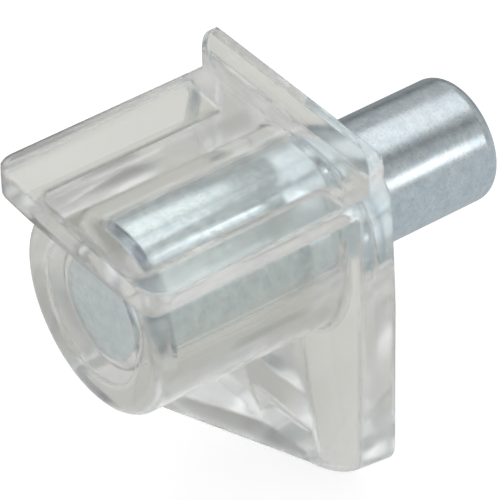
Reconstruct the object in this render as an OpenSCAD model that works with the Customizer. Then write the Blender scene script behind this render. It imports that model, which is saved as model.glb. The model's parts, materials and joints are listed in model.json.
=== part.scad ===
// Shelf support pin: a clear moulded bracket with a plated steel pin pressed into its boss.
// +X runs across the bracket, +Y along the pin into the wall, and +Z up.
// The origin is on the pin's axis, in the face that lies against the wall.

/* [Pin] */
// Diameter of the steel pin, made for a drilled system hole
pin_d = 5; // [4:0.1:5.6]
// How far the pin stands out behind the wall plate
pin_reach = 7.1; // [5:0.1:12]
// Radius of the rounding on the end that enters the wall
pin_nose_r = 0.6; // [0.2:0.1:1.2]
// Chamfer on the end inside the boss
pin_chamfer = 0.45; // [0.1:0.05:0.8]
// Radial room between the pin and its socket
socket_gap = 0.02; // [0.01:0.01:0.1]
// Chamfer that leads the pin into its socket
socket_lead = 0.25; // [0.1:0.05:0.6]
// Width of the shallow groove where the pin leaves the wall plate
groove_w = 0.6; // [0.55:0.05:1]
// Depth of the groove
groove_depth = 0.2; // [0.2:0.05:0.4]

/* [Boss] */
// Outer diameter of the boss round the pin
boss_d = 8.3; // [7.6:0.1:9.4]
// Length of the boss in front of the wall plate
boss_len = 8.45; // [6:0.05:14]
// Plastic left in front of the pin
cap_wall = 1.05; // [0.6:0.05:2]
// Radius of the boss's front rim
rim_r = 0.5; // [0.1:0.05:0.8]
// Diameter of the shallow dish in the front face
dish_d = 5.6; // [3:0.1:6.4]
// Depth of the dish
dish_depth = 0.12; // [0.05:0.01:0.3]
// Radius of the fillets where the rib and the wall plate meet the boss
root_fillet_r = 0.3; // [0.1:0.05:0.5]

/* [Wall plate] */
// Width of the wall plate, the seat and the lip
plate_w = 10; // [9.6:0.1:14]
// Thickness of the wall plate
plate_t = 1.6; // [1.2:0.1:3]
// Depth of the plate's lowest point under the pin's axis, on its front face
plate_drop = 10.6; // [9:0.1:16]
// Radius of the plate's curved foot
foot_r = 7; // [6.8:0.1:20]
// Draft of the foot, which reaches lower at the wall, in degrees
foot_draft = 8; // [0:1:12]
// Radius of the foot's two corners
foot_corner_r = 1.2; // [0.5:0.1:2]
// Radius of the lip's two top corners
lip_corner_r = 1.4; // [0.5:0.1:2]
// How far the plate's back leans away from the wall at its shoulder
back_relief = 0.2; // [0.05:0.05:0.3]
// How far under the pin's axis the back starts to lean
relief_drop = 1.5; // [0:0.1:4]
// How far under the seat the plate's back shoulder starts
shoulder_drop = 0.5; // [0.2:0.1:1]
// Height of the shoulder, which slopes to the lip's back
shoulder_h = 1; // [0.4:0.1:1.2]

/* [Shelf seat] */
// Height of the seat over the pin's axis
seat_rise = 4.1; // [3.9:0.05:5]
// How far the seat stands out past the boss
seat_overhang = 0.65; // [0.2:0.05:2]
// Thickness of the seat at its outer edges
seat_edge_t = 1; // [0.8:0.05:1.1]
// Thickness of the seat where it runs into the boss
seat_root_t = 1.15; // [1.1:0.05:1.8]
// Radius of the seat's lower outer edges
seat_edge_r = 0.45; // [0.1:0.05:0.45]
// Radius of the seat's front corners, seen from above
seat_corner_r = 0.9; // [0.1:0.05:1.5]

/* [Lip] */
// Height of the lip over the seat
lip_h = 2.25; // [1.6:0.05:5]
// How far the lip's front face is set back from the plate's
lip_setback = 0.4; // [0.1:0.05:0.5]
// Thickness of the lip
lip_t = 0.65; // [0.3:0.05:0.7]
// Thickness left at the lip's top edge
lip_tip_t = 0.06; // [0.05:0.01:0.25]
// Height of the bevel behind the lip's top edge
lip_bevel_h = 0.7; // [0.2:0.1:0.9]

/* [Rib] */
// How far the rib reaches out along the boss from the plate
rib_reach = 7.1; // [4:0.1:7.4]
// Height of the rib's toe over the plate's lowest point
rib_toe_h = 0.45; // [0:0.05:2]
// Thickness of the rib where it meets the boss
rib_root_t = 2.5; // [1.5:0.1:4]
// Thickness of the rib at its toe
rib_toe_t = 5; // [1.5:0.1:6]

/* [Hidden] */
$fn = 96;
// Amount by which walls run into each other and cuts run past a surface
lap = 0.2;

pin_r = pin_d / 2;
boss_r = boss_d / 2;
half_w = plate_w / 2;
boss_front = plate_t + boss_len;
pin_front = boss_front - cap_wall;
seat_front = boss_front + seat_overhang;
lip_front = plate_t - lip_setback;
lip_back = lip_front - lip_t;
lip_top = seat_rise + lip_h;
bevel_z = lip_top - lip_bevel_h;
shoulder_z = seat_rise - shoulder_drop;

// Centres of the foot's arc and of the corner arcs that run into it
foot_z = foot_r - plate_drop;
corner_x = half_w - foot_corner_r;
corner_z = foot_z - sqrt(pow(foot_r - foot_corner_r, 2) - pow(corner_x, 2));

// Underside of the seat: it falls from the outer edge to its root on the boss
root_z = seat_rise - seat_root_t;
root_x = sqrt(pow(boss_r, 2) - pow(root_z, 2));
edge_z = seat_rise - seat_edge_t;
under_angle = atan2(edge_z - root_z, half_w - root_x);
edge_tangent = seat_edge_r * tan(45 - under_angle / 2);
inner_z = root_z - lap * sin(under_angle);

// Sides of the rib: they spread from its root on the boss to its toe
rib_x = rib_root_t / 2;
rib_root_z = -sqrt(pow(boss_r, 2) - pow(rib_x, 2));
rib_toe_z = -plate_drop + rib_toe_h;
rib_angle = atan2(rib_toe_z - rib_root_z, (rib_toe_t - rib_root_t) / 2);

// Extrudes a front outline forwards, from one distance before the wall to another
module front_span(from, to) {
    translate([0, -from, 0])
        rotate([90, 0, 0])
            linear_extrude(height = to - from) children();
}

// Extrudes a side outline across the whole width
module side_span(width) {
    rotate([90, 0, 90])
        linear_extrude(height = width, center = true) children();
}

// Turns a half outline about the pin's axis, with its height running forwards
module turned_forwards() {
    rotate([90, 0, 0]) rotate_extrude() children();
}

// Area between the boss, a wall that leaves it at an angle from root, and their fillet,
// which lies to the left of that wall
module boss_fillet(root, angle, r) {
    along = [cos(angle), sin(angle)];
    away = [-sin(angle), cos(angle)];
    start = root + r * away;
    run = -start * along + sqrt(pow(start * along, 2) - start * start + pow(boss_r + r, 2));
    centre = start + run * along;
    difference() {
        polygon([root - lap * away, root + run * along - lap * away, root + run * along,
                 centre, centre * boss_r / (boss_r + r), root * (1 - lap / boss_r)]);
        translate(centre) circle(r);
    }
}

// Both halves of an outline that is the same on the left and the right
module both_sides() {
    children();
    mirror([1, 0]) children();
}

// Front outline of the foot: an arch that runs into two rounded corners
module foot_outline() {
    reach = 2 * foot_r / (foot_r - foot_corner_r);
    intersection() {
        translate([0, foot_z]) circle(foot_r);
        polygon([[0, foot_z], [reach * corner_x, foot_z + reach * (corner_z - foot_z)],
                 [-reach * corner_x, foot_z + reach * (corner_z - foot_z)]]);
    }
    both_sides() {
        translate([corner_x, corner_z]) circle(foot_corner_r);
        translate([0, corner_z]) square([half_w, -corner_z]);
    }
}

// Front outline of the plate over the foot, with the lip's rounded top corners
module upper_outline() {
    both_sides() {
        translate([half_w - lip_corner_r, lip_top - lip_corner_r]) circle(lip_corner_r);
        translate([0, foot_z]) square([half_w, lip_top - lip_corner_r - foot_z]);
        translate([0, foot_z]) square([half_w - lip_corner_r, lip_top - foot_z]);
    }
}

// Side outline of the wall plate: its back leans off the wall, the lip is set back, and a
// bevel leaves the lip a thin top edge
module plate_side() {
    polygon([[0, -2 * plate_drop], [0, -relief_drop], [-back_relief, shoulder_z],
             [-lip_back, shoulder_z + shoulder_h], [-lip_back, bevel_z],
             [-lip_front + lip_tip_t, lip_top], [-lip_front, lip_top],
             [-lip_front, seat_rise], [-plate_t, seat_rise], [-plate_t, -2 * plate_drop]]);
}

// The foot is extruded along its draft, from the front face backwards and down
module wall_plate() {
    intersection() {
        union() {
            front_span(-lap, plate_t + lap) upper_outline();
            translate([0, -plate_t, foot_z])
                rotate([-foot_draft, 0, 0])
                    translate([0, plate_t, -foot_z])
                        front_span(-plate_t, 2 * plate_t) foot_outline();
        }
        side_span(plate_w) plate_side();
    }
}

// Front outline of the seat: a flat top, and wings that thicken towards the boss
module seat_outline() {
    both_sides() {
        polygon([[0, seat_rise], [half_w, seat_rise], [half_w, edge_z + edge_tangent],
                 [half_w - seat_edge_r, edge_z + edge_tangent],
                 [half_w, edge_z] - edge_tangent * [cos(under_angle), sin(under_angle)],
                 [root_x - lap * cos(under_angle), inner_z], [0, inner_z]]);
        translate([half_w - seat_edge_r, edge_z + edge_tangent]) circle(seat_edge_r);
    }
}

// Outline of the seat from above, with its two front corners rounded
module seat_plan() {
    both_sides() {
        translate([half_w - seat_corner_r, -seat_front + seat_corner_r]) circle(seat_corner_r);
        translate([0, -seat_front]) square([half_w - seat_corner_r, seat_front - lip_front]);
        translate([0, -seat_front + seat_corner_r])
            square([half_w, seat_front - seat_corner_r - lip_front]);
    }
}

module shelf_seat() {
    intersection() {
        front_span(lip_front, seat_front + lap) seat_outline();
        linear_extrude(height = seat_rise + lap) seat_plan();
    }
}

// The boss is turned about the pin's axis, with a rounded rim, a dished face and a root
// fillet on the plate, and the seat's flat top trims its crown
module boss() {
    fillet_r = min(root_fillet_r, half_w - boss_r);
    intersection() {
        turned_forwards()
            difference() {
                union() {
                    translate([0, lip_front]) square([boss_r, boss_front - rim_r - lip_front]);
                    translate([0, lip_front]) square([boss_r - rim_r, boss_front - lip_front]);
                    translate([boss_r - rim_r, boss_front - rim_r]) circle(rim_r);
                    difference() {
                        translate([0, lip_front])
                            square([boss_r + fillet_r, plate_t + fillet_r - lip_front]);
                        translate([boss_r + fillet_r, plate_t + fillet_r]) circle(fillet_r);
                    }
                }
                translate([0, boss_front - dish_depth]) square([dish_d / 2, dish_depth + lap]);
            }
        translate([-plate_w, -seat_front, seat_rise - 2 * plate_w])
            cube([2 * plate_w, seat_front, 2 * plate_w]);
    }
}

// Front section of the rib: it widens downwards and is filleted to the boss
module rib_section() {
    both_sides() {
        polygon([[0, 0], [rib_x, 0], [rib_x, rib_root_z], [rib_toe_t / 2, rib_toe_z],
                 [rib_toe_t / 2, -plate_drop], [0, -plate_drop]]);
        boss_fillet([rib_x, rib_root_z], rib_angle, root_fillet_r);
    }
}

// Side outline of the rib: a straight slope from the boss down to the plate's foot
module rib_side() {
    slope = (rib_root_z - rib_toe_z) / rib_reach;
    tip = plate_t + rib_reach + lap;
    polygon([[-lip_front, 0], [-tip, 0], [-tip, rib_root_z + lap * slope],
             [-plate_t, rib_toe_z], [-lip_front, rib_toe_z]]);
}

module rib() {
    intersection() {
        front_span(0, boss_front) rib_section();
        side_span(plate_w) rib_side();
        front_span(0, boss_front) foot_outline();
    }
}

// Half outline of the blind socket that the pin is pressed into, from the wall forwards
module socket_outline() {
    socket_r = pin_r + socket_gap;
    polygon([[0, -lap], [socket_r + socket_lead + lap, -lap], [socket_r, socket_lead],
             [socket_r, pin_front - pin_chamfer], [socket_r - pin_chamfer, pin_front],
             [0, pin_front]]);
}

module clear_body() {
    color([0.85, 0.87, 0.85, 0.5])
        difference() {
            union() {
                wall_plate();
                shelf_seat();
                boss();
                rib();
            }
            turned_forwards() socket_outline();
        }
}

// Half outline of the pin, from its nose in the wall to the chamfered end in the boss
module pin_outline() {
    translate([0, -pin_reach + pin_nose_r])
        square([pin_r, pin_front + pin_reach - pin_nose_r - pin_chamfer]);
    translate([0, -pin_reach]) square([pin_r - pin_nose_r, pin_nose_r]);
    intersection() {
        translate([pin_r - pin_nose_r, -pin_reach + pin_nose_r]) circle(pin_nose_r);
        translate([0, -pin_reach]) square([pin_r, pin_nose_r]);
    }
    polygon([[0, pin_front - pin_chamfer], [pin_r, pin_front - pin_chamfer],
             [pin_r - pin_chamfer, pin_front], [0, pin_front]]);
}

// The pin is turned, and its groove lies in the plate, flush with the face on the wall
module steel_pin() {
    color([0.66, 0.72, 0.76])
        turned_forwards()
            difference() {
                pin_outline();
                translate([pin_r - groove_depth, 0]) square([groove_depth + lap, groove_w]);
            }
}

clear_body();
steel_pin();
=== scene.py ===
# %% [markdown]
# # A shelf support pin: clear plastic on a plated steel pin
# The real object is two pieces. A bracket is injection moulded in clear plastic, and a short steel
# pin, turned and zinc plated, is held in its boss. The pin goes into a hole in a cabinet's side,
# the plate lies against the side, and a shelf rests on the seat, against the lip.
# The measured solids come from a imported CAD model. This file dresses them: it gives the plastic
# its moulded edges and its clarity, the steel its plating, and the pair a studio to stand in.

# %% Load the measured model
import json
import math
import bmesh
import bpy
from mathutils import Matrix, Vector

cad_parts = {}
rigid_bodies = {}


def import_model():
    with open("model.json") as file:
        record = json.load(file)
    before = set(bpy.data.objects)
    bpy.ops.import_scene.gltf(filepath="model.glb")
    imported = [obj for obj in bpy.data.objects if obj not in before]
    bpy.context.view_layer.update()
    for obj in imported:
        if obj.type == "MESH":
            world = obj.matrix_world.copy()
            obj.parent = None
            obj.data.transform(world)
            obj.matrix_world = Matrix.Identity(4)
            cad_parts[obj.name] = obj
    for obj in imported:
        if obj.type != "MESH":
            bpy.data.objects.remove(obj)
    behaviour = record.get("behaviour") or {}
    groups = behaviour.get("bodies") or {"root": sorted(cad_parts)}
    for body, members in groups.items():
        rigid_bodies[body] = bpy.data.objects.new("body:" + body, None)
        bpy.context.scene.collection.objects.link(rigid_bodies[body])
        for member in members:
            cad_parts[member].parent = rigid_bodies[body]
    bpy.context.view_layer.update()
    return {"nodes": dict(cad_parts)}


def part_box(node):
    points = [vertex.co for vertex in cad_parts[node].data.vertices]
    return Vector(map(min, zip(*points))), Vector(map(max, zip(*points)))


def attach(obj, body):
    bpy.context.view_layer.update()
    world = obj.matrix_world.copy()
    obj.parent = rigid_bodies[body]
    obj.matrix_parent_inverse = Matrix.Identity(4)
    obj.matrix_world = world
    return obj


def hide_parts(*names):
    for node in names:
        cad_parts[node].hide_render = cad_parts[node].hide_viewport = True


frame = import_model()
MM = 0.001
body_low, body_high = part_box("clear_body")
pin_low, pin_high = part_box("steel_pin")
print("body, mm:", [round(v / MM, 3) for v in body_high - body_low])
print("pin, mm:", [round(v / MM, 3) for v in pin_high - pin_low])

# %% [markdown]
# ## A small way to write nodes
# Shader and geometry trees are graphs, and a graph written call by call hides its arithmetic.
# A class that wraps one socket and overloads + - * / lets a formula stay a formula: each operator
# adds one Math node. The reflected forms make 1 - mask work as well. Any other node comes from one
# method, which sets the node's settings first and its sockets afterwards.

# %% Socket wrapper
class Wire:
    """One output socket, with arithmetic."""

    def __init__(self, tree, socket):
        self.tree, self.socket = tree, socket

    def math(self, operation, *others):
        return self.tree.add("ShaderNodeMath", {"operation": operation}, {
            i: v for i, v in enumerate((self, *others))})

    def __add__(self, other):
        return self.math("ADD", other)

    def __mul__(self, other):
        return self.math("MULTIPLY", other)

    def __sub__(self, other):
        return self.math("SUBTRACT", other)

    def __truediv__(self, other):
        return self.math("DIVIDE", other)

    def __rsub__(self, other):
        return self.tree.add("ShaderNodeMath", {"operation": "SUBTRACT"}, {0: other, 1: self})

    __radd__, __rmul__ = __add__, __mul__


class Tree:
    """A node tree that is built by add()."""

    def __init__(self, nodes_tree):
        self.nodes, self.links = nodes_tree.nodes, nodes_tree.links

    def add(self, kind, settings=None, values=None, output=0):
        """A new node: settings first, then each socket's value or link. Gives one output."""
        node = self.nodes.new(kind)
        for name, value in (settings or {}).items():
            if name == "stops":
                self.set_stops(node.color_ramp, value)
            else:
                setattr(node, name, value)
        for key, value in (values or {}).items():
            socket = node.inputs[key]
            if isinstance(value, Wire):
                self.links.new(value.socket, socket)
            else:
                socket.default_value = value
        return Wire(self, node.outputs[output]) if node.outputs else node

    @staticmethod
    def set_stops(ramp, stops):
        while len(ramp.elements) < len(stops):
            ramp.elements.new(1.0)
        for element, (place, colour) in zip(ramp.elements, stops):
            element.position, element.color = place, colour


def new_material(name):
    """A material with an empty tree, and its Tree."""
    material = bpy.data.materials.new(name)
    material.use_nodes = True
    material.node_tree.nodes.clear()
    return material, Tree(material.node_tree)


# %% [markdown]
# ## The steel's finish
# Bright zinc plating on a turned pin is a blue-grey metal. It isn't a perfect mirror: the plating
# grows as fine crystals, so it looks slightly mottled, and the turning leaves faint rings. Two
# noises at different scales make the mottle, and a stretched one makes the rings. They move the
# colour and the roughness only a little, because plating is an even coat. A finer noise adds
# small dull flecks.
#
# The chamfer at the pin's inner end looks darker in patches. That may be a dull or worn coat, or
# only what it reflects, so a darker steel is mixed in there, and only there, by a patchy noise.

# %% Values of the plating
PLATE_LIGHT = (0.87, 0.955, 0.985, 1)
PLATE_DARK = (0.69, 0.80, 0.86, 1)
FLECK = (0.70, 0.66, 0.64, 1)
# A darker steel colour for patches on the chamfer at the pin's inner end, and where they start.
DARKENED_STEEL = (0.36, 0.41, 0.48, 1)
DARKENED_END = 0.42 * MM
DARKENED_FROM_R = 2.1 * MM
MOTTLE_SCALE = 2600
GRAIN_SCALE = 6000
RING_SCALE = 9000
RING_STRETCH = (0.02, 1, 0.02)
FLECK_SCALE = 9000
PATCH_SCALE = 900
MOTTLE_SHARE, GRAIN_SHARE, RING_SHARE = 0.6, 0.25, 0.15
DARK_AT, LIGHT_AT = 0.38, 0.62
PATCH_FROM, PATCH_GAIN, DARKENED_LEAST = 0.42, 8, 0.25
FLECK_FROM, FLECK_GAIN, FLECK_MOST = 0.58, 9, 0.45
STEEL_ROUGH, STEEL_ROUGH_RANGE = 0.16, 0.16
STEEL_BUMP, STEEL_BUMP_HEIGHT = 0.25, 0.004 * MM
print("bare steel on the chamfer, mm from the inner end:", round(DARKENED_END / MM, 2))

# %% [markdown]
# The noises are mixed into one value, which picks a tone between the dark and the light plating
# and sets the roughness as well, so a duller crystal is also a rougher one. Flecks and the
# chamfer's darker steel colour are then laid over that tone by their masks.

# %% Zinc plating
zinc, t = new_material("zinc_plating")
place = t.add("ShaderNodeTexCoord", output=3)
mottle = t.add("ShaderNodeTexNoise", {}, {"Vector": place, "Scale": MOTTLE_SCALE, "Detail": 4})
grain = t.add("ShaderNodeTexNoise", {}, {"Vector": place, "Scale": GRAIN_SCALE, "Detail": 2})
rings_place = t.add("ShaderNodeMapping", {}, {"Vector": place, "Scale": RING_STRETCH})
rings = t.add("ShaderNodeTexNoise", {}, {"Vector": rings_place, "Scale": RING_SCALE, "Detail": 2})
mix = mottle * MOTTLE_SHARE + grain * GRAIN_SHARE + rings * RING_SHARE
tone = t.add("ShaderNodeValToRGB",
             {"stops": [(DARK_AT, PLATE_DARK), (LIGHT_AT, PLATE_LIGHT)]}, {0: mix})
x, y, z = (t.add("ShaderNodeSeparateXYZ", {}, {0: place}, output=i) for i in range(3))
off_axis = (x * x + z * z).math("SQRT")
at_end = y.math("LESS_THAN", pin_low.y + DARKENED_END)
on_chamfer = at_end * off_axis.math("GREATER_THAN", DARKENED_FROM_R)
patch = t.add("ShaderNodeTexNoise", {}, {"Vector": place, "Scale": PATCH_SCALE, "Detail": 1})
patchy = ((patch - PATCH_FROM) * PATCH_GAIN).math("MAXIMUM", DARKENED_LEAST).math("MINIMUM", 1)
# The chamfer's colour is darkened in patches.
darkened = on_chamfer * patchy
flecks = t.add("ShaderNodeTexNoise", {}, {"Vector": place, "Scale": FLECK_SCALE, "Detail": 2})
flecked = ((flecks - FLECK_FROM) * FLECK_GAIN).math("MAXIMUM", 0).math("MINIMUM", FLECK_MOST)
tone = t.add("ShaderNodeMix", {"data_type": "RGBA"}, {0: flecked, 6: tone, 7: FLECK}, 2)
tone = t.add("ShaderNodeMix", {"data_type": "RGBA"}, {0: darkened, 6: tone, 7: DARKENED_STEEL}, 2)
bump = t.add("ShaderNodeBump", {}, {"Height": rings * 0.5 + grain * 0.5, "Strength": STEEL_BUMP,
                                    "Distance": STEEL_BUMP_HEIGHT})
steel = t.add("ShaderNodeBsdfPrincipled", {}, {
    "Base Color": tone, "Metallic": 1.0,
    "Roughness": STEEL_ROUGH + mix * STEEL_ROUGH_RANGE, "Normal": bump})
t.add("ShaderNodeOutputMaterial", {}, {"Surface": steel})
print("zinc plating:", len(zinc.node_tree.nodes), "nodes")

# %% [markdown]
# ## The clear plastic
# The bracket is a clear plastic with an index near 1.5. Brackets like it are often made of
# polycarbonate; which plastic this one is isn't known. It is less clear than glass: it has a faint
# warm grey tint that deepens where light takes a long way through.
#
# The tint is the shader's base colour, which counts each time that light crosses a wall. So it is
# set by place: strong on the outside of the thick boss, weak on the thin seat, plate and rib and
# on the boss's face, where only 1 mm of plastic lies before the pin, and none in the bore.
#
# A moulded edge is never sharp. The measured solid's curves come as very short edges, and a mesh
# bevel can't be wider than those allow, so the soft edges are made in the shader: its Bevel node
# turns the normal near an edge, and the shape stays as it was measured. The radius shrinks toward
# the thin tip of the lip, in the bore and on the boss's face. A Bump node adds shallow ripples and
# fine scuffs, and on the bore's wall the long marks that are left as the mould's core is drawn out.

# %% Values of the plastic
TINT_THIN = (0.975, 0.975, 0.955, 1)
TINT_THICK = (0.80, 0.80, 0.765, 1)
TINT_NONE = (1, 1, 1, 1)
BOSS_ZONE_R = 4.5 * MM
PLATE_T = 1.6 * MM
BORE_ZONE_R = 2.6 * MM
BORE_ZONE_SPARE = 0.1 * MM
BORE_WALL_BAND = 0.25 * MM
FACE_ZONE_R = 3 * MM
FACE_ZONE_REACH = 0.85 * MM
EDGE_ROUND = 0.38 * MM
TIP_TAPER = 0.13
BORE_CRISP, FACE_CRISP = 0.9, 0.7
PLASTIC_INDEX = 1.5
PLASTIC_CLARITY = 0.98
RIPPLE_SCALE = 420
SCUFF_SCALE = 5200
SCUFF_HEIGHT = 0.03
DRAW_SCALE = 3400
DRAW_STRETCH = (1, 0.015, 1)
DRAW_DEPTH = 2.6
PLASTIC_ROUGH, SCUFF_ROUGH = 0.06, 0.12
PLASTIC_BUMP, PLASTIC_BUMP_HEIGHT = 0.5, 0.02 * MM
print("edge rounds in the shader, mm:", round(EDGE_ROUND / MM, 2), "at most")

# %% [markdown]
# Each zone is a product of comparisons: how far a point lies from the pin's axis, and how far
# along it. The zones pick the tint and the radius of the soft edges, and the same distance from
# the axis tells the bore's wall from its end.

# %% Clear plastic
plastic, t = new_material("clear_plastic")
place = t.add("ShaderNodeTexCoord", output=3)
ripple = t.add("ShaderNodeTexNoise", {}, {"Vector": place, "Scale": RIPPLE_SCALE, "Detail": 2})
scuffs = t.add("ShaderNodeTexNoise", {}, {"Vector": place, "Scale": SCUFF_SCALE, "Detail": 3})
x, y, z = (t.add("ShaderNodeSeparateXYZ", {}, {0: place}, output=i) for i in range(3))
off_axis = (x * x + z * z).math("SQRT")
in_boss = off_axis.math("LESS_THAN", BOSS_ZONE_R) * y.math("LESS_THAN", -PLATE_T)
in_bore = (off_axis.math("LESS_THAN", BORE_ZONE_R)
           * y.math("GREATER_THAN", pin_low.y - BORE_ZONE_SPARE))
on_face = (off_axis.math("LESS_THAN", FACE_ZONE_R)
           * y.math("LESS_THAN", body_low.y + FACE_ZONE_REACH))
depth = t.add("ShaderNodeMix", {"data_type": "RGBA"}, {
    0: in_boss * (1 - on_face), 6: TINT_THIN, 7: TINT_THICK}, 2)
tint = t.add("ShaderNodeMix", {"data_type": "RGBA"}, {0: in_bore, 6: depth, 7: TINT_NONE}, 2)
wide = ((body_high.z - z) * TIP_TAPER).math("MINIMUM", EDGE_ROUND)
radius = wide * (1 - in_bore * BORE_CRISP) * (1 - on_face * FACE_CRISP)
rounded = t.add("ShaderNodeBevel", {"samples": 6}, {"Radius": radius})
drawn_place = t.add("ShaderNodeMapping", {}, {"Vector": place, "Scale": DRAW_STRETCH})
drawn = t.add("ShaderNodeTexNoise", {}, {"Vector": drawn_place, "Scale": DRAW_SCALE, "Detail": 3})
on_wall = in_bore * off_axis.math("GREATER_THAN", BORE_ZONE_R - BORE_WALL_BAND)
height = ripple + scuffs * SCUFF_HEIGHT + drawn * on_wall * DRAW_DEPTH
bump = t.add("ShaderNodeBump", {}, {"Height": height, "Strength": PLASTIC_BUMP,
                                    "Distance": PLASTIC_BUMP_HEIGHT, "Normal": rounded})
clear = t.add("ShaderNodeBsdfPrincipled", {}, {
    "Base Color": tint, "Roughness": PLASTIC_ROUGH + scuffs * SCUFF_ROUGH, "IOR": PLASTIC_INDEX,
    "Transmission Weight": PLASTIC_CLARITY, "Normal": bump})
t.add("ShaderNodeOutputMaterial", {}, {"Surface": clear})
print("clear plastic:", len(plastic.node_tree.nodes), "nodes")

# %% [markdown]
# ## The pin, turned by Geometry Nodes
# A turned part is one outline spun about an axis. In mesh code that would be a spin; here Geometry
# Nodes sweep the outline round a small circle, so the number of steps is a named input and the
# outline stays easy to read. The outline is the edge of the pin from its inner end to its nose.

# %% The pin's outline
END_GAP = 0.015 * MM
PIN_R = (pin_high.x - pin_low.x) / 2
PIN_TOP, PIN_END = pin_high.y, pin_low.y + END_GAP
NOSE_R = 0.6 * MM
CHAMFER = 0.45 * MM
CHAMFER_SOFT = 0.06 * MM
GROOVE_W = 0.6 * MM
GROOVE_DEPTH = 0.2 * MM
NOSE_STEPS = 10
AXIS_R = 0.002 * MM


def soft_corner(before, corner, after, radius, steps=4):
    """Points that round a corner of the outline."""
    a, b = (before - corner).normalized() * radius, (after - corner).normalized() * radius
    start, end = corner + a, corner + b
    return [start.lerp(corner, i / steps).lerp(corner.lerp(end, i / steps), i / steps)
            for i in range(steps + 1)]


def pin_outline():
    """(radius, y) points from the inner end's axis, along the pin, to the nose's axis."""
    corners = [Vector((AXIS_R, PIN_END)), Vector((PIN_R - CHAMFER, PIN_END)),
               Vector((PIN_R, PIN_END + CHAMFER)), Vector((PIN_R, -GROOVE_W)),
               Vector((PIN_R - GROOVE_DEPTH, -GROOVE_W)), Vector((PIN_R - GROOVE_DEPTH, 0)),
               Vector((PIN_R, 0)), Vector((PIN_R, PIN_TOP - NOSE_R))]
    soft = [0, 1, 1, 0.6, 0.6, 0.6, 0.6, 0]
    points = [corners[0]]
    for i in range(1, len(corners) - 1):
        points += soft_corner(corners[i - 1], corners[i], corners[i + 1], soft[i] * CHAMFER_SOFT)
    for i in range(NOSE_STEPS + 1):
        turn = math.pi / 2 * i / NOSE_STEPS
        points.append(Vector((PIN_R - NOSE_R + NOSE_R * math.cos(turn),
                              PIN_TOP - NOSE_R + NOSE_R * math.sin(turn))))
    points.append(Vector((AXIS_R, PIN_TOP)))
    return points


outline = pin_outline()
print("outline points:", len(outline))

# %% [markdown]
# Curve to Mesh lays the outline across the path at each of its points. The path is a circle
# about the Y axis whose radius is nearly nothing, so the outline's own distances become radii.
# The doubled points on the axis are merged at the end, which closes both ends of the pin.

# %% The turning tree
def line_object(name, points):
    """An object whose mesh is one open line through the points."""
    mesh = bpy.data.meshes.new(name)
    mesh.from_pydata(points, [(i, i + 1) for i in range(len(points) - 1)], [])
    obj = bpy.data.objects.new(name, mesh)
    bpy.context.scene.collection.objects.link(obj)
    return obj


def geometry_tree(name, inputs):
    """A geometry tree with a geometry in and out and the named inputs of (kind, default)."""
    group = bpy.data.node_groups.new(name, "GeometryNodeTree")
    group.interface.new_socket("Geometry", in_out="INPUT", socket_type="NodeSocketGeometry")
    for label, (kind, default) in inputs.items():
        socket = group.interface.new_socket(label, in_out="INPUT", socket_type=kind)
        if default is not None:
            socket.default_value = default
    group.interface.new_socket("Geometry", in_out="OUTPUT", socket_type="NodeSocketGeometry")
    tree = Tree(group)
    entry = group.nodes.new("NodeGroupInput")
    return group, tree, {s.name: Wire(tree, s) for s in entry.outputs if s.name}


def close_tree(tree, geometry, material):
    """Realize Instances, Set Material and the group's output."""
    real = tree.add("GeometryNodeRealizeInstances", {}, {0: geometry})
    done = tree.add("GeometryNodeSetMaterial", {}, {0: real, "Material": material})
    tree.add("NodeGroupOutput", {}, {0: done})


def grow(obj, group, values=None):
    """The plain mesh that a geometry tree makes of an object, in place of the object's own."""
    modifier = obj.modifiers.new(group.name, "NODES")
    modifier.node_group = group
    names = {s.name: s.identifier for s in group.interface.items_tree if s.in_out == "INPUT"}
    for label, value in (values or {}).items():
        modifier[names[label]] = value
    graph = bpy.context.evaluated_depsgraph_get()
    mesh = bpy.data.meshes.new_from_object(obj.evaluated_get(graph))
    obj.modifiers.remove(modifier)
    obj.data = mesh
    return obj


TURN_STEPS = 128
turning, t, given = geometry_tree("turning", {"Steps": ("NodeSocketInt", TURN_STEPS),
                                              "Merge distance": ("NodeSocketFloat", AXIS_R * 2)})
profile = t.add("GeometryNodeMeshToCurve", {}, {"Mesh": given["Geometry"]})
path = t.add("GeometryNodeCurvePrimitiveCircle", {}, {"Resolution": given["Steps"],
                                                      "Radius": AXIS_R})
spun = t.add("GeometryNodeCurveToMesh", {}, {"Curve": path, "Profile Curve": profile})
upright = t.add("GeometryNodeTransform", {}, {"Geometry": spun,
                                              "Rotation": (math.radians(90), 0, 0)})
merged = t.add("GeometryNodeMergeByDistance", {}, {"Geometry": upright,
                                                   "Distance": given["Merge distance"]})
close_tree(t, merged, zinc)
pin = grow(line_object("turned_pin", [(p.x, p.y, 0) for p in outline]), turning,
           {"Steps": TURN_STEPS})
low = [min(v.co[i] for v in pin.data.vertices) / MM for i in range(3)]
high = [max(v.co[i] for v in pin.data.vertices) / MM for i in range(3)]
print("turned pin, mm:", [round(v, 3) for v in low], [round(v, 3) for v in high],
      len(pin.data.polygons), "faces")

# %% [markdown]
# ## The body, from the measured solid
# A clear piece shows every one of its walls at once, so the visual body keeps the measured solid's
# faces. A CAD mesh is loose triangles: a copy has its doubles merged and its flat triangles
# dissolved. The bore keeps its thin film of air round the pin. Seen at a slant, that film turns the
# bore's flanks into mirrors, so the metal looks narrower inside the plastic than outside it.

# %% Copy and merge the solid
WELD_GAP = 0.001 * MM
FLAT_ANGLE = math.radians(0.2)


def mesh_copy(node, name):
    obj = bpy.data.objects.new(name, frame["nodes"][node].data.copy())
    bpy.context.scene.collection.objects.link(obj)
    return obj


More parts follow.
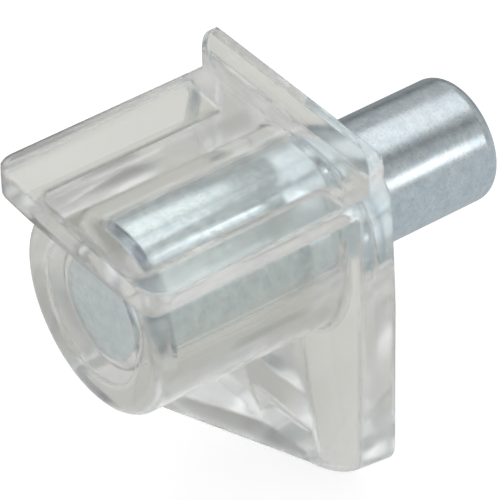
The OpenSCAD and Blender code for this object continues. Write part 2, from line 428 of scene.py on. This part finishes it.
body = mesh_copy("clear_body", "moulded_body")
bm = bmesh.new()
bm.from_mesh(body.data)
bmesh.ops.remove_doubles(bm, verts=bm.verts, dist=WELD_GAP)
bmesh.ops.dissolve_limit(bm, angle_limit=FLAT_ANGLE, verts=bm.verts, edges=bm.edges)
print("merged body:", len(bm.faces), "faces")
bm.to_mesh(body.data)
bm.free()
body.data.materials.clear()
body.data.materials.append(plastic)

# %% [markdown]
# ## Smooth where it is round, crisp where it is flat
# Shading by angle blends the strips of each curve. On clear plastic that isn't enough: where a
# round runs into a flat wall, the blended normal would tilt the whole wall and bend the view
# through it. A Weighted Normal modifier lets the larger face win, which levels most corners.
#
# It doesn't level all of them. The greatest tilt is printed below, and at a few corners of large
# walls, the rib's flanks among them, it is far too great. These corners bend the view and show as
# dark facets in the rib. Setting their normals to the face's own is the mend that is still to do.

# %% Shading
SMOOTH_ANGLE = math.radians(30)
for piece in (body, pin):
    for face in piece.data.polygons:
        face.use_smooth = True
    piece.data.set_sharp_from_angle(angle=SMOOTH_ANGLE)

leveller = body.modifiers.new("level_walls", "WEIGHTED_NORMAL")
leveller.mode = "FACE_AREA"
leveller.weight = 100
leveller.keep_sharp = True
graph = bpy.context.evaluated_depsgraph_get()
levelled = bpy.data.meshes.new_from_object(body.evaluated_get(graph))
body.modifiers.remove(leveller)
body.data = levelled
tilts = [face.normal.angle(levelled.corner_normals[i].vector)
         for face in levelled.polygons if face.area > MM * MM for i in face.loop_indices]
print("walls over 1 mm2, greatest tilt, degrees:", round(math.degrees(max(tilts)), 2))

# %% [markdown]
# ## What rides, and what it replaces
# There is no joint, so both pieces ride on the one body, root. Each stands for its solid.

# %% Tie the pieces to the measured nodes
for piece, node, material_slot in ((body, "clear_body", "clear_plastic"),
                                   (pin, "steel_pin", "zinc_plated_steel")):
    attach(piece, "root")
    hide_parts(node)

# %% [markdown]
# ## The studio
# A plain pale floor under the foot and a pale world all round. Clear plastic shows mostly what is
# behind it, and metal what is beside it, so each kind of ray gets its own level: white for the
# camera, an even pale grey for rays that come through the plastic, and a darker, shaped surround
# for the metal's gloss. Rays through the plastic see the floor as slightly warm and the air as
# slightly cool, and glossy rays see a cooler floor.

# %% The floor's mesh
FLOOR_SIZE = 3.0
FLOOR_DROP = 0.02 * MM

floor_mesh = bpy.data.meshes.new("floor")
half = FLOOR_SIZE / 2
floor_z = body_low.z - FLOOR_DROP
floor_mesh.from_pydata([(-half, -half, floor_z), (half, -half, floor_z), (half, half, floor_z),
                        (-half, half, floor_z)], [], [(0, 1, 2, 3)])
floor = bpy.data.objects.new("floor", floor_mesh)
bpy.context.scene.collection.objects.link(floor)
print("floor, mm under the foot:", round((body_low.z - floor_z) / MM, 3))

# %% [markdown]
# A Light Path node tells what kind of ray asks for a colour. Its outputs make four masks that add
# up to one, so a level for each kind is one sum. A second helper makes a soft round patch.

# %% Masks by kind of ray
def rays(tree):
    """Masks for the camera's rays, those through plastic, those off gloss, and the rest."""
    outputs = tree.add("ShaderNodeLightPath").socket.node.outputs
    camera, through, gloss = (Wire(tree, outputs[name]) for name in (
        "Is Camera Ray", "Is Transmission Ray", "Is Glossy Ray"))
    gloss = gloss * (1 - through)
    return {"camera": camera, "through": through, "gloss": gloss,
            "rest": 1 - camera - through - gloss}


def level_for(masks, levels):
    """One level out of four, picked by the kind of ray."""
    parts = [masks[kind] * levels[kind] for kind in masks]
    return parts[0] + parts[1] + parts[2] + parts[3]


def around(tree, place, centre, reach):
    """A soft round patch: 1 at its centre, 0 at its reach."""
    distance = tree.add("ShaderNodeVectorMath", {"operation": "DISTANCE"},
                        {0: place, 1: centre}, 1)
    return tree.add("ShaderNodeMapRange", {"interpolation_type": "SMOOTHSTEP"},
                    {0: distance, 1: 0, 2: reach, 3: 1, 4: 0})


print("kinds of ray: camera, through, gloss, rest")

# %% [markdown]
# ## The floor's paper
# Camera rays see a lit, matt sheet with some glow, so the part's own shadow falls on it. Rays
# through the plastic and off the metal see a glow of their own instead, which doesn't hang on the
# lamps. Three painted patches shape it: a painted shadow near the foot for the plastic, and for the
# metal a painted pool of light near the foot and a floor painted dimmer to the left.

# %% Paper
FLOOR_GREY = (0.62, 0.62, 0.62, 1)
FLOOR_BLUE = (0.94, 0.98, 1.0, 1)
FLOOR_WARM = (1.0, 1.0, 0.965, 1)
FLOOR_GLOW = 0.70
FLOOR_THROUGH = 0.695
FLOOR_GLOSS = 0.53
FLOOR_DIM = 0.24
FLOOR_NEAR = 0.2
NEAR_SPOT = (-3 * MM, -7 * MM, body_low.z)
NEAR_R = 16 * MM
SHADE_SPOT = (-6 * MM, -5 * MM, body_low.z)
SHADE_R = 14 * MM
SHADE_DEPTH = 0.26
DIM_REACH = 25 * MM

paper, t = new_material("floor_paper")
masks = rays(t)
matt = t.add("ShaderNodeBsdfDiffuse", {}, {"Color": FLOOR_GREY})
glow = t.add("ShaderNodeEmission", {}, {"Color": (1, 1, 1, 1),
                                        "Strength": masks["camera"] * FLOOR_GLOW})
lit = t.add("ShaderNodeAddShader", {}, {0: matt, 1: glow})
spot = t.add("ShaderNodeTexCoord", output=3)
near = around(t, spot, NEAR_SPOT, NEAR_R)
shade = around(t, spot, SHADE_SPOT, SHADE_R)
floor_x = t.add("ShaderNodeSeparateXYZ", {}, {0: spot})
dim = (floor_x / -DIM_REACH).math("MAXIMUM", 0).math("MINIMUM", 1)
# Painted light and shade for the metal: the floor glows brighter near the foot and dimmer to the
# left.
gloss_level = FLOOR_GLOSS - dim * (1 - near) * FLOOR_DIM + near * FLOOR_NEAR
paper_hue = t.add("ShaderNodeMix", {"data_type": "RGBA"}, {
    0: masks["gloss"], 6: FLOOR_WARM, 7: FLOOR_BLUE}, 2)
# Painted shadow: the plastic's view of the floor is darker near the foot.
through_level = FLOOR_THROUGH - shade * SHADE_DEPTH
even = t.add("ShaderNodeEmission", {}, {
    "Color": paper_hue,
    "Strength": masks["through"] * through_level + masks["gloss"] * gloss_level})
both = t.add("ShaderNodeMixShader", {}, {0: masks["through"] + masks["gloss"], 1: lit, 2: even})
t.add("ShaderNodeOutputMaterial", {}, {"Surface": both})
floor.data.materials.append(paper)

print("floor paper:", len(paper.node_tree.nodes), "nodes")

# %% [markdown]
# ## The air round the part
# The world has no picture, only levels. Rays through the plastic find it brighter overhead and to
# the right. All other rays, the camera's too, find it dimmer low down on the left. Glossy rays
# also find one dim gap high on the right, for the dark band along the pin. Clear plastic passes
# light many times between its walls, so the bounces are set higher than usual.

# %% World
AIR_BLUE = (0.965, 0.985, 1.0, 1)
AIR_GLOW = {"camera": 1, "through": 0.60, "gloss": 0.44, "rest": 0.58}
AIR_RISE = 0.48
AIR_RIGHT = 0.40
LEFT_GAIN, LOW_GAIN, LEFT_DEPTH = -1.2, 3, 0.36
GAP_X, GAP_W, GAP_ABOVE, GAP_DEPTH = 0.44, 0.13, 0.5, 0.30

world = bpy.data.worlds.new("studio")
bpy.context.scene.world = world
world.use_nodes = True
world.node_tree.nodes.clear()
t = Tree(world.node_tree)
direction = t.add("ShaderNodeTexCoord")
x, z = (t.add("ShaderNodeSeparateXYZ", {}, {0: direction}, output=i) for i in (0, 2))
left = (x * LEFT_GAIN).math("MAXIMUM", 0).math("MINIMUM", 1)
low = (1 - z.math("ABSOLUTE") * LOW_GAIN).math("MAXIMUM", 0)
gap_side = (1 - (x - GAP_X).math("ABSOLUTE") / GAP_W).math("MAXIMUM", 0)
gap = gap_side * z.math("GREATER_THAN", GAP_ABOVE)
masks = rays(t)
air_hue = t.add("ShaderNodeMix", {"data_type": "RGBA"}, {
    0: masks["through"], 6: (1, 1, 1, 1), 7: AIR_BLUE}, 2)
air_level = (level_for(masks, AIR_GLOW)
             - left * low * (1 - masks["through"]) * LEFT_DEPTH
             - gap * masks["gloss"] * GAP_DEPTH
             + z.math("MAXIMUM", 0) * masks["through"] * AIR_RISE
             + x.math("MAXIMUM", 0) * masks["through"] * AIR_RIGHT)
air = t.add("ShaderNodeBackground", {}, {"Color": air_hue, "Strength": air_level})
t.add("ShaderNodeOutputWorld", {}, {"Surface": air})
bpy.context.scene.cycles.max_bounces = 24
bpy.context.scene.cycles.glossy_bounces = 16
bpy.context.scene.cycles.transmission_bounces = 24
print("world:", len(world.node_tree.nodes), "nodes")

# %% [markdown]
# ## Lights
# Two square lamps, as in a light tent: a large one overhead for the seat and the pin's highlight,
# and a smaller, weaker one at the right, beyond the plate.

# %% Lamps
TOP_PLACE, TOP_SIZE, TOP_POWER = (-0.045, 0.12, 0.30), 0.25, 0.100
STRIP_PLACE, STRIP_SIZE, STRIP_POWER = (0.243, 0.145, 0.090), 0.07, 0.024


def soft_lamp(name, place, target, size, power):
    """A square area lamp at a place, turned to a target, in metres and watts."""
    data = bpy.data.lights.new(name, "AREA")
    data.shape = "SQUARE"
    data.size = size
    data.energy = power
    lamp = bpy.data.objects.new(name, data)
    aim = (Vector(target) - Vector(place)).to_track_quat("-Z", "Y").to_matrix().to_4x4()
    lamp.matrix_world = Matrix.Translation(place) @ aim
    bpy.context.scene.collection.objects.link(lamp)
    return lamp


lamps = [soft_lamp("top_light", TOP_PLACE, (0, 0, 0), TOP_SIZE, TOP_POWER),
         soft_lamp("strip_light", STRIP_PLACE, (0, 0, 0), STRIP_SIZE, STRIP_POWER)]
print("lamps, watts:", {lamp.name: round(lamp.data.energy, 3) for lamp in lamps})

# %% [markdown]
# ## Camera
# A long lens looks down on the bracket from its front right, as close as a macro picture.

# %% Camera
EYE = Vector((106.197, -81.076, 105.114)) * MM
AIM = Vector((-0.5983, -2.4233, -1.2265)) * MM
ROLL = math.radians(-1.119)
LENS = 331.33

camera_data = bpy.data.cameras.new("camera")
camera_data.sensor_width = 36
camera_data.lens = LENS
camera_data.clip_start = 1 * MM
camera_data.clip_end = 10
camera = bpy.data.objects.new("camera", camera_data)
turn = (AIM - EYE).to_track_quat("-Z", "Y").to_matrix().to_4x4() @ Matrix.Rotation(ROLL, 4, "Z")
camera.matrix_world = Matrix.Translation(EYE) @ turn
bpy.context.scene.collection.objects.link(camera)
bpy.context.scene.camera = camera
bpy.context.scene.view_settings.view_transform = "Standard"
print("camera, mm from the part:", round((EYE - AIM).length / MM, 1))
